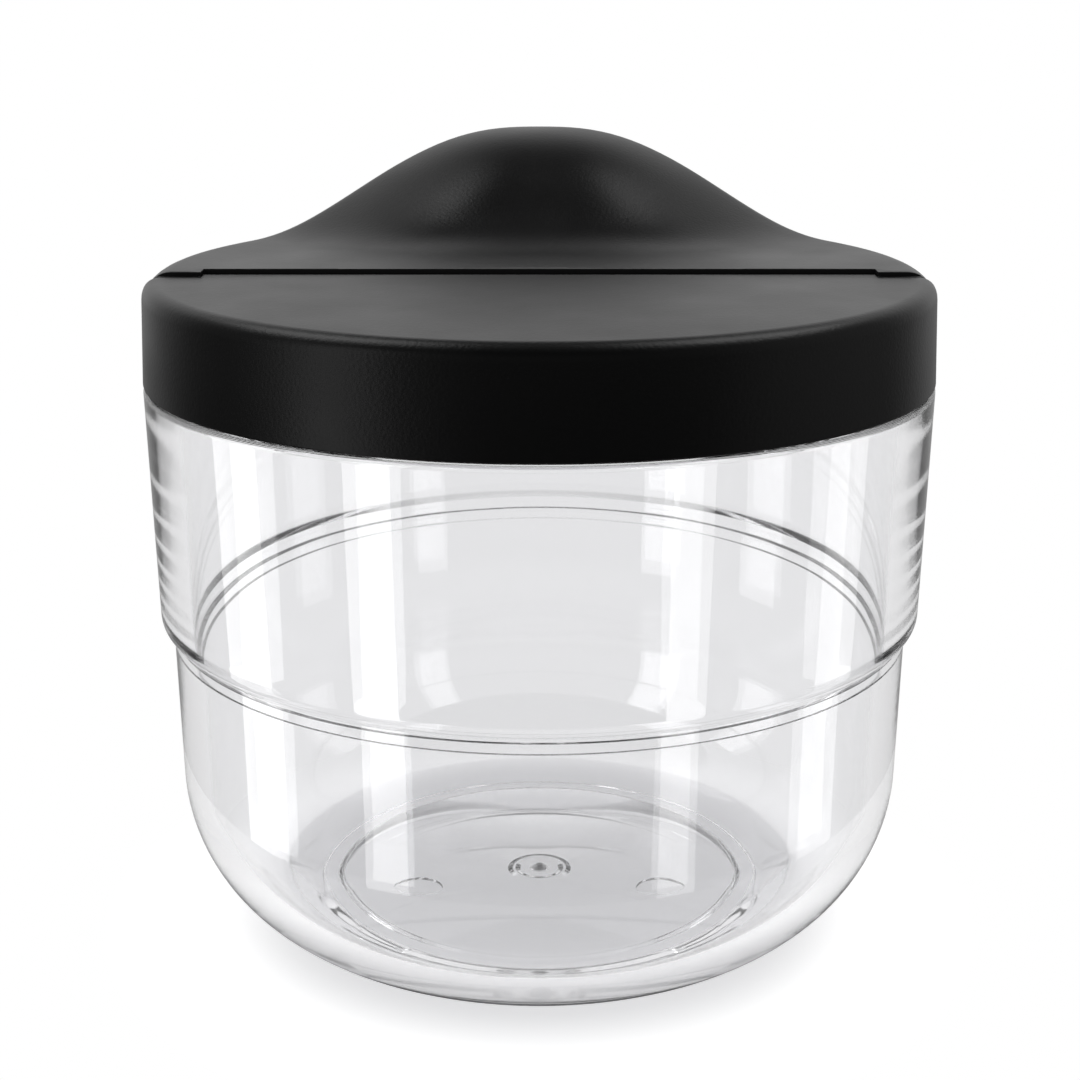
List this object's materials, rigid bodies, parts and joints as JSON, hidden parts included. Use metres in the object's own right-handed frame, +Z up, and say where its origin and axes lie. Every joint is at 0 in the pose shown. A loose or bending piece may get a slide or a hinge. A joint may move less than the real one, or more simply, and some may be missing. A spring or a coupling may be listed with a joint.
{
  "type": "clear food canister with pouring flap",
  "caption": "Round clear storage jar with a stepped wall and rounded base, closed by a black press-on cap whose rear half is a hinged, hump-backed pouring flap.",
  "frame": {"origin": "on the jar's axis, on the table plane that the foot ring stands on", "axes": "+Z up along the jar's axis; -Y towards the front, the flat half of the lid; +Y towards the flap's hump; +X to the right as seen from the front, along the hinge axis"},
  "size_m": [0.12, 0.12, 0.1213],
  "materials": {
    "clear_plastic": "clear, polished",
    "black_plastic": "black, finely textured satin",
    "dark_plastic": "dark grey, smooth satin",
    "silicone": "frosted translucent silicone",
    "steel": "plain drawn"
  },
  "bodies": {
    "jar": {"jar": "clear_plastic"},
    "lid": {"lid_cap": "black_plastic", "lid_gasket": "silicone", "hinge_pin_left": "steel", "hinge_pin_right": "steel"},
    "flap": {"flap_shell": "black_plastic", "flap_base": "dark_plastic", "flap_seal": "silicone"}
  },
  "joints": [
    {"name": "lid_lift", "type": "slide", "parent": "jar", "child": "lid", "axis": [0, 0, 1], "range_m": [0, 0.05]},
    {"name": "flap_hinge", "type": "hinge", "parent": "lid", "child": "flap", "pos_m": [0, -0.00415, 0.1024], "axis": [1, 0, 0], "range_deg": [0, 95]}
  ]
}
